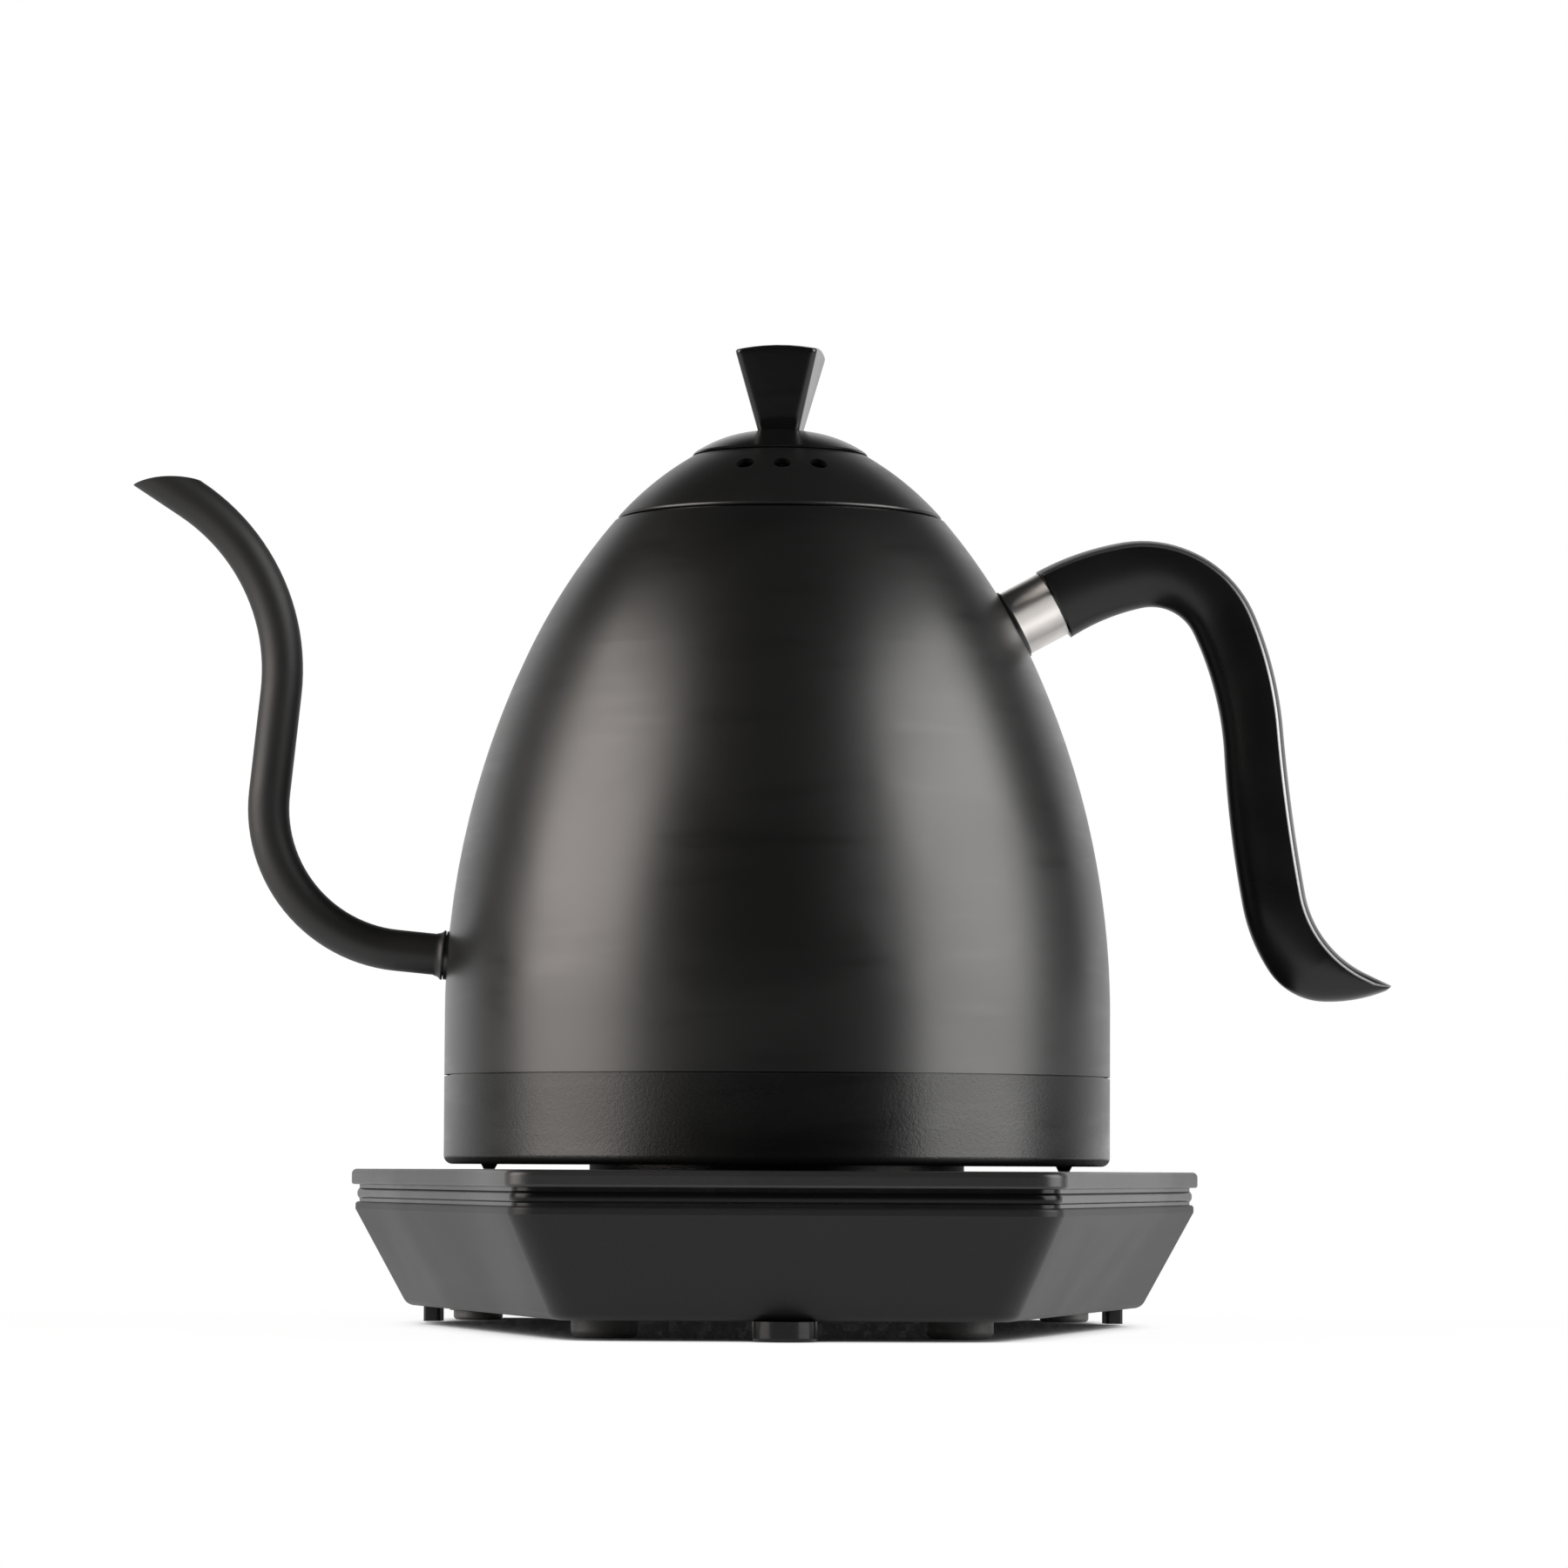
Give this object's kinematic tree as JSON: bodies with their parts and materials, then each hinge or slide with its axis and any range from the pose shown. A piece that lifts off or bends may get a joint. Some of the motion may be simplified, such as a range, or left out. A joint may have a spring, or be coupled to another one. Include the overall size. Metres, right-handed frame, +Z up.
{
  "type": "gooseneck electric kettle",
  "caption": "Gooseneck electric kettle with a dome body, bent pouring spout, hooked grip and lift-off lid, on a hexagonal power base with a display and push buttons.",
  "frame": {"origin": "on the worktop under the middle of the whole object, at the level of the undersides of the feet; the kettle's axis is 4.04 mm towards +X and 12 mm towards +Y", "axes": "+Z up; +X towards the handle; -X towards the spout; -Y towards the front, where the control ledge is"},
  "size_m": [0.2904, 0.232, 0.2265],
  "materials": {
    "body_coat": "matte black powder coat on steel",
    "inner_steel": "brushed stainless steel",
    "polished_steel": "polished stainless steel",
    "foot_plastic": "fine-grained black plastic",
    "base_plastic": "matte charcoal plastic",
    "base_trim": "matte dark grey plastic",
    "panel_gloss": "glossy black overlay",
    "window": "smoked clear window",
    "button_plastic": "matte dark grey plastic",
    "grip": "satin black",
    "lid_coat": "matte black powder coat",
    "knob_coat": "satin black coat",
    "rubber": "matte black rubber",
    "foot_gloss": "glossy dark plastic",
    "silicone": "translucent grey silicone",
    "board": "green fibreglass board",
    "component": "moulded electronic component",
    "contact": "brass contact",
    "socket_plastic": "heat-proof black plastic",
    "spreader": "rolled aluminium",
    "screw_steel": "zinc-plated steel"
  },
  "bodies": {
    "base": {"base_shell": "base_plastic", "base_band": "base_trim", "base_top_plate": "base_plastic", "base_screws": "screw_steel", "front_feet": "rubber", "rear_feet": "rubber", "centre_foot": "foot_gloss", "cord_gland": "base_trim", "base_connector": "socket_plastic", "connector_contacts": "contact", "control_panel": "panel_gloss", "display_window": "window", "control_board": "board", "display_module": "component", "button_switches": "component", "power_board": "board", "power_relay": "component", "power_transformer": "component"},
    "power_key": {"power_button": "button_plastic"},
    "hold_key": {"hold_button": "button_plastic"},
    "minus_key": {"minus_button": "button_plastic"},
    "plus_key": {"plus_button": "button_plastic"},
    "socket": {"kettle_socket": "socket_plastic"},
    "kettle": {"kettle_body": "body_coat", "bottom_ring": "foot_plastic", "bottom_cover": "foot_plastic", "cover_screws": "screw_steel", "heater_plate": "inner_steel", "heat_spreader": "spreader", "heating_element": "screw_steel", "dry_boil_cutout": "component", "temperature_probe": "inner_steel", "probe_seal": "silicone", "spout": "body_coat", "spout_collar": "body_coat", "handle_gasket": "rubber", "handle_ferrule": "polished_steel", "handle_core": "screw_steel", "handle_screw": "screw_steel", "handle_grip": "grip"},
    "lid": {"lid_shell": "lid_coat", "lid_cap": "lid_coat", "lid_knob": "knob_coat", "knob_screw": "screw_steel", "lid_inner": "inner_steel", "lid_seal": "silicone"}
  },
  "joints": [
    {"name": "kettle_lift", "type": "slide", "parent": "base", "child": "socket", "axis": [0, 0, 1], "range_m": [0, 0.12]},
    {"name": "kettle_turn", "type": "hinge", "parent": "socket", "child": "kettle", "pos_m": [0.00404, 0.012, 0.045], "axis": [0, 0, 1], "continuous": true},
    {"name": "lid_lift", "type": "slide", "parent": "kettle", "child": "lid", "axis": [0, 0, 1], "range_m": [0, 0.07]},
    {"name": "power_press", "type": "slide", "parent": "base", "child": "power_key", "axis": [0, 0, -1], "range_m": [0, 0.0008], "stiffness_N_per_m": 300},
    {"name": "hold_press", "type": "slide", "parent": "base", "child": "hold_key", "axis": [0, 0, -1], "range_m": [0, 0.0008], "stiffness_N_per_m": 300},
    {"name": "minus_press", "type": "slide", "parent": "base", "child": "minus_key", "axis": [0, 0, -1], "range_m": [0, 0.0008], "stiffness_N_per_m": 300},
    {"name": "plus_press", "type": "slide", "parent": "base", "child": "plus_key", "axis": [0, 0, -1], "range_m": [0, 0.0008], "stiffness_N_per_m": 300}
  ]
}
